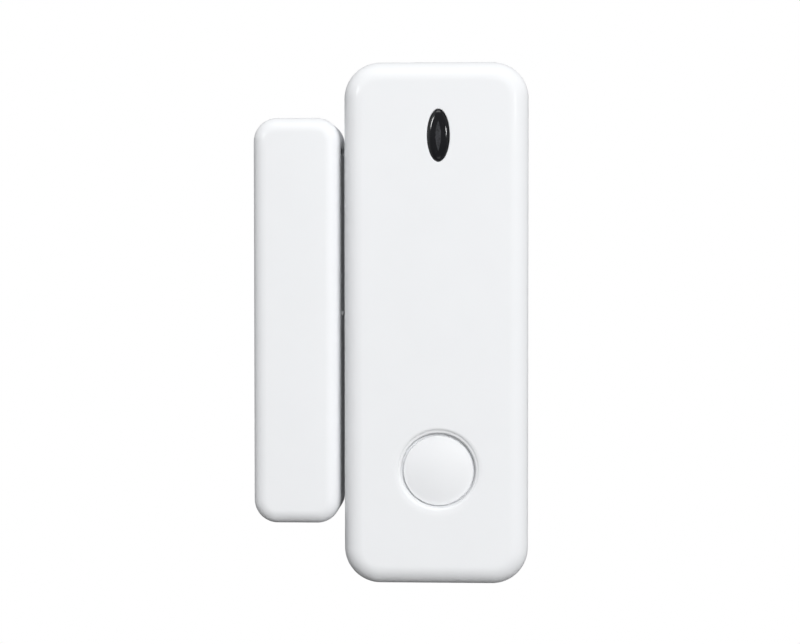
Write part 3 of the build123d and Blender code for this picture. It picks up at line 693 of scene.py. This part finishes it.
def make_hold_down_ribs():
    """Two ribs across the cover, let into its walls and front, that stop just clear of the magnet."""
    bite = 0.2 * MM
    reach = UNIT_HALF_WIDTH - UNIT_WALL + bite
    rib_front = UNIT_FRONT - UNIT_WALL + bite
    rib_back = -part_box("bar_magnet")[0].y + 0.2 * MM
    rib_half = 0.6 * MM
    for name, offset in (("lower", -16 * MM), ("upper", 16 * MM)):
        z = UNIT_Z + offset
        rib = rounded_bar(
            (UNIT_X - reach, -rib_front, z - rib_half), (UNIT_X + reach, -rib_back, z + rib_half),
            0.15 * MM, 2)
        rib.name = f"hold_down_rib_{name}"
        adopt(rib, "magnet_cover", "case_plastic")


# ------------------------------------------------------------------ foam pads
def make_pad(node, name, body):
    """A double-sided foam pad: cut edges that belly out a little, with a crest along each face's border."""
    low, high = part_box(node)
    half_width = (high.x - low.x) / 2
    half_length = (high.z - low.z) / 2
    thickness = high.y - low.y
    pad = Shell(((low.x + high.x) / 2, (low.z + high.z) / 2))
    middle = -(low.y + high.y) / 2
    corner = 1.2 * MM
    skin = 0.06 * MM
    # the edge's upper half, from the face out to the belly: (inset in mm, rise as a share of the thickness)
    upper = [
        (0.42, 0.40), (0.30, 0.46), (0.20, 0.49), (0.10, 0.50), (0.05, 0.46), (0.09, 0.44),
        (0.03, 0.30), (0.0, 0.12),
    ]
    lower = [(inset, -rise) for inset, rise in reversed(upper)]
    rings = []
    for row, (inset, rise) in enumerate(upper + lower):
        outline = rounded_outline(half_width - inset * MM, half_length - inset * MM, corner, 6, (16, 30))
        ragged = [
            p * (1 - skin * (0.5 + 0.5 * math.sin(9.1 * i + 2.3 * row)) / half_width)
            for i, p in enumerate(outline)]
        rings.append(pad.ring(ragged, middle + rise * thickness))
    pad.bridge(*rings)
    pad.fill(rings[0])
    pad.fill(rings[-1])
    item = pad.piece(name, body, "foam_pad", [node], sharp=70)


# --------------------------------------------------------------- board details
def solids_of(name):
    """The box of every separate solid in a CAD node, from left to right, as (low corner, high corner)."""
    mesh = bmesh.new()
    mesh.from_mesh(frame["nodes"][name].data)
    bmesh.ops.remove_doubles(mesh, verts=mesh.verts[:], dist=0.001 * MM)
    left, boxes = set(mesh.verts), []
    while left:
        reached, ahead = [], [left.pop()]
        while ahead:
            vertex = ahead.pop()
            reached.append(vertex.co.copy())
            beside = {edge.other_vert(vertex) for edge in vertex.link_edges} & left
            left -= beside
            ahead.extend(beside)
        boxes.append([Vector([pick(c[i] for c in reached) for i in range(3)]) for pick in (min, max)])
    mesh.free()
    return sorted(boxes, key=lambda box: tuple(box[0]))


def plate(shell, centre, half_size, corner, front, back=BOARD_FRONT - SINK):
    """A thin rounded plate on the board, with a soft upper edge."""
    soft = min(0.3 * (front - back), 0.04 * MM)

    def ring(inset, height):
        outline = rounded_outline(half_size[0] - inset, half_size[1] - inset, corner - inset, 4, (2, 2))
        return shell.ring([p + Vector(centre) for p in outline], height)

    rings = [ring(0, back), ring(0, front - soft), ring(soft, front)]
    shell.bridge(*rings)
    shell.fill(rings[0])
    shell.fill(rings[-1])


def fillet(shell, x, z, foot, wire, rise):
    """Solder that climbs a wire in a hollow curve from a round foot on the board."""
    section = [(wire + (foot - wire) * (1 - t) ** 2.2, rise * t) for t in [i / 7 for i in range(8)]]
    rings = [
        shell.ring([p + Vector((x, z)) for p in ellipse_outline(r, r, 24)], BOARD_FRONT + h)
        for r, h in [(foot, -SINK), *section]
    ]
    shell.bridge(*rings)
    shell.fill(rings[0])
    shell.fill(rings[-1])


def make_solder():
    """Solder at every wire that passes through the board."""
    joints = Shell()
    upper, lower = sorted(solids_of("reed_leads"), key=lambda box: -box[1].z)
    for x, z in (
        ((upper[0].x + upper[1].x) / 2, upper[1].z - 0.25 * MM),
        ((lower[0].x + lower[1].x) / 2, lower[0].z + 0.25 * MM),
    ):
        fillet(joints, x, z, 0.95 * MM, 0.27 * MM, 0.75 * MM)
    for low, high in solids_of("status_led_leads"):
        fillet(joints, (low.x + high.x) / 2, (low.z + high.z) / 2, 0.8 * MM, 0.34 * MM, 0.6 * MM)
    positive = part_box("battery_contact_positive")
    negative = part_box("battery_contact_negative")
    for x, z in (
        (positive[0].x + 0.4 * MM, positive[1].z - 0.2 * MM),
        (negative[0].x + 0.4 * MM, negative[0].z + 0.2 * MM),
    ):
        fillet(joints, x, z, 0.9 * MM, 0.3 * MM, 0.9 * MM)
    for z in ANTENNA_ENDS:
        fillet(joints, ANTENNA_X, z, 1.0 * MM, 0.42 * MM, 0.8 * MM)
    joints.piece("solder_joints", "transmitter_base", "solder")


def make_pads():
    """Tinned pads under the chip's leads, and under the small parts, whose ends are plated too."""
    pads = Shell()
    chip_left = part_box("encoder_chip")[0].x
    for low, high in solids_of("encoder_chip_leads"):
        foot = (high.x if low.x > chip_left else low.x, (low.z + high.z) / 2)
        plate(pads, foot, (0.75 * MM, 0.34 * MM), 0.08 * MM, BOARD_FRONT + 0.05 * MM)
    for low, high in solids_of("chip_resistors") + solids_of("chip_capacitors"):
        x = (low.x + high.x) / 2
        half_width = (high.x - low.x) / 2
        part_front = -low.y
        for z, inward in ((low.z, 0.2 * MM), (high.z, -0.2 * MM)):
            plate(pads, (x, z + inward), (half_width + 0.03 * MM, 0.25 * MM), 0.06 * MM,
                  part_front + 0.03 * MM, BOARD_FRONT)
            plate(pads, (x, z - inward * 1.2), (half_width + 0.12 * MM, 0.42 * MM), 0.1 * MM,
                  BOARD_FRONT + 0.09 * MM)
    pads.piece("tinned_pads", "transmitter_base", "solder")


def make_antenna_legs():
    """The coil's two ends, turned down to the board."""
    axis_height = -(antenna_low.y + antenna_high.y) / 2
    bend = [math.radians(d) for d in (0, 22, 45, 68)]
    section = [
        (ANTENNA_WIRE * 0.8, BOARD_FRONT - SINK),
        (ANTENNA_WIRE, BOARD_FRONT + 0.1 * MM),
        *[(ANTENNA_WIRE * math.cos(a), axis_height + ANTENNA_WIRE * math.sin(a)) for a in bend],
        (0, axis_height + ANTENNA_WIRE),
    ]
    for name, z in zip(("antenna_leg_lower", "antenna_leg_upper"), ANTENNA_ENDS):
        leg = Shell((ANTENNA_X, z))
        rings = [leg.round_ring(r, h, 20) for r, h in section]
        leg.bridge(*rings)
        leg.fill(rings[0])
        leg.piece(name, "transmitter_base", "copper_wire")


def make_markings():
    """Printed outlines that show where each part sits, without any lettering."""
    ink = Shell()
    line = 0.16 * MM
    thickness = 0.025 * MM
    # each outlined part, how far outside it the line runs in mm, and whether the outline is rounded
    for name, gap, rounded in (
        ("encoder_chip_leads", 0.55, False), ("reed_glass", 0.6, False), ("tact_switch_body", 0.45, False),
        ("tamper_switch_body", 0.45, False), ("bulk_capacitor", 0.5, True), ("resonator_can", 0.45, True),
        ("status_led", 0.45, True), ("antenna_coil", 0.6, False),
    ):
        low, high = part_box(name)
        centre = Vector((low.x + high.x, low.z + high.z)) / 2
        half = Vector((high.x - low.x, high.z - low.z)) / 2 + Vector((gap, gap)) * MM
        corner = min(half) - 0.01 * MM if rounded else 0.4 * MM
        rings = []
        for inset, rise in ((0, -thickness), (0, thickness), (line, thickness), (line, -thickness)):
            outline = rounded_outline(half.x - inset, half.y - inset, corner - inset, 12, (2, 2))
            rings.append(ink.ring([p + centre for p in outline], BOARD_FRONT + rise))
        ink.bridge(*rings, rings[0])
    ink.piece("board_markings", "transmitter_base", "marking_ink")


# ------------------------------------------------------------------- CAD nodes
# the CAD nodes with small rounded edges, and each edge's width in mm
BEVELLED = {
    "base_plate": 0.12, "magnet_base": 0.12, "circuit_board": 0.08, "tact_switch_body": 0.08,
    "tamper_switch_body": 0.08, "encoder_chip": 0.06, "battery_contact_positive": 0.05,
    "battery_contact_negative": 0.05, "lens_diffuser": 0.1, "bar_magnet": 0.08,
}


def finish_cad_nodes():
    """Give every CAD node its finish, and the prismatic ones small rounded edges."""
    slots = {s["node"]: s["material_slot"] for s in frame["record"]["subparts"]}
    for name, node in frame["nodes"].items():
        for place in node.material_slots:
            place.material = MATERIALS[slots[name]]
        if name in BEVELLED:
            flatten = node.modifiers.new("flatten", "DECIMATE")
            flatten.decimate_type = "DISSOLVE"
            flatten.angle_limit = math.radians(0.5)
            edge = node.modifiers.new("edge", "BEVEL")
            edge.width = BEVELLED[name] * MM
            edge.segments = 2
            edge.limit_method = "ANGLE"
            edge.angle_limit = math.radians(50)
            edge.use_clamp_overlap = True
            edge.harden_normals = True


# --------------------------------------------------------------- light and view
def towards(azimuth, elevation):
    """A direction from the object: azimuth in degrees to the right of the front, elevation upwards."""
    a, e = math.radians(azimuth), math.radians(elevation)
    return Vector((math.sin(a) * math.cos(e), -math.cos(a) * math.cos(e), math.sin(e)))


AMBIENT = 0.06
# broad soft glows round the object: azimuth and elevation in degrees, how narrow, how strong
GLOWS = (
    (-100, 40, 8.0, 1.8), (-75, 12, 12.0, 0.5), (115, 20, 5.0, 1.0),
    (-145, 45, 6.0, 0.25), (145, 45, 6.0, 0.25),
)


def make_world():
    """Dim surroundings with soft glows at the sides and behind. Seen directly, they are plain white."""
    world = bpy.data.worlds.new("studio")
    bpy.context.scene.world = world
    world.use_nodes = True
    tree = world.node_tree
    tree.nodes.clear()
    place = tree.nodes.new("ShaderNodeTexCoord").outputs["Generated"]

    def calculate(operation, first, second):
        node = tree.nodes.new("ShaderNodeMath")
        node.operation = operation
        tree.links.new(first, node.inputs[0])
        if isinstance(second, float):
            node.inputs[1].default_value = second
        else:
            tree.links.new(second, node.inputs[1])
        return node.outputs[0]

    total = None
    for azimuth, elevation, sharpness, strength in GLOWS:
        facing = tree.nodes.new("ShaderNodeVectorMath")
        facing.operation = "DOT_PRODUCT"
        tree.links.new(place, facing.inputs[0])
        facing.inputs[1].default_value = towards(azimuth, elevation)
        glow = calculate("MAXIMUM", facing.outputs["Value"], 0.0)
        glow = calculate("MULTIPLY", calculate("POWER", glow, sharpness), strength)
        total = calculate("ADD", glow, AMBIENT if total is None else total)
    lit = tree.nodes.new("ShaderNodeBackground")
    lit.inputs["Color"].default_value = (0.985, 0.993, 1.0, 1)
    tree.links.new(total, lit.inputs["Strength"])
    seen = tree.nodes.new("ShaderNodeBackground")
    seen.inputs["Color"].default_value = (1, 1, 1, 1)
    path = tree.nodes.new("ShaderNodeLightPath")
    mix = tree.nodes.new("ShaderNodeMixShader")
    output = tree.nodes.new("ShaderNodeOutputWorld")
    tree.links.new(path.outputs["Is Camera Ray"], mix.inputs["Fac"])
    tree.links.new(lit.outputs[0], mix.inputs[1])
    tree.links.new(seen.outputs[0], mix.inputs[2])
    tree.links.new(mix.outputs[0], output.inputs["Surface"])


def make_lamp(name, azimuth, elevation, distance, size, watts, reflected):
    """A soft box aimed at the object: it either lights surfaces or is what they reflect."""
    light = bpy.data.lights.new(name, "AREA")
    light.shape = "RECTANGLE"
    light.size, light.size_y = size
    light.energy = watts
    lamp = bpy.data.objects.new(name, light)
    way = towards(azimuth, elevation)
    lamp.location = way * distance
    lamp.rotation_euler = way.to_track_quat("Z", "Y").to_euler()
    lamp.visible_camera = False
    lamp.visible_diffuse = not reflected
    lamp.visible_glossy = reflected
    bpy.context.scene.collection.objects.link(lamp)


def make_floor():
    """A plain pale turntable well below the object, which is held up by its wall face."""
    mesh = bmesh.new()
    radius = 0.28
    bmesh.ops.create_cone(mesh, cap_ends=True, segments=128, radius1=radius, radius2=radius, depth=0.012)
    bmesh.ops.bevel(
        mesh, geom=[e for e in mesh.edges if abs(e.verts[0].co.z - e.verts[1].co.z) < 1e-6],
        offset=0.003, segments=3, affect="EDGES")
    data = bpy.data.meshes.new("floor")
    mesh.to_mesh(data)
    mesh.free()
    floor = bpy.data.objects.new("floor", data)
    floor.location = (0, 0, -0.75)
    shader = Shader("floor")
    shader.feed("Base Color", shader.ramp(shader.noise(0.1), (0.64, 0.64, 0.64), (0.68, 0.68, 0.68)))
    shader.set(Roughness=0.8)
    data.materials.append(shader.material)
    bpy.context.scene.collection.objects.link(floor)


def make_camera():
    """In front, about 0.35 m away, a little to the right of and above the object's middle."""
    data = bpy.data.cameras.new("camera")
    data.lens = 75.7
    data.sensor_width = 36
    data.shift_x = -0.0295
    data.shift_y = -0.0175
    data.clip_start = 0.005
    camera = bpy.data.objects.new("camera", data)
    camera.location = (11.4 * MM, -350 * MM, 12.2 * MM)
    camera.rotation_euler = (math.radians(90 - 1.55), 0, math.radians(2.377))
    bpy.context.scene.collection.objects.link(camera)
    bpy.context.scene.camera = camera


bpy.context.scene.view_settings.view_transform = "Standard"
make_camera()
make_world()
make_lamp("key", 18, 20, 1.5, (0.9, 0.9), 25.3, reflected=False)
make_lamp("overhead", 0, 62, 1.2, (1.0, 0.5), 3.5, reflected=True)
make_lamp("underside", 5, -30, 1.0, (0.8, 0.4), 0.9, reflected=True)
make_lamp("accent_left", -40, 18, 1.0, (0.20, 0.20), 3.0, reflected=True)
make_lamp("accent_right", 40, 10, 1.0, (0.14, 0.09), 1.4, reflected=True)
make_floor()
finish_cad_nodes()
make_front_cover()
make_lens()
make_button()
make_magnet_cover()
make_alignment_mark()
make_hold_down_ribs()
make_solder()
make_pads()
make_antenna_legs()
make_markings()
make_pad("transmitter_adhesive_pad", "transmitter_foam_pad", "transmitter_base")
make_pad("magnet_adhesive_pad", "magnet_foam_pad", "magnet_base")
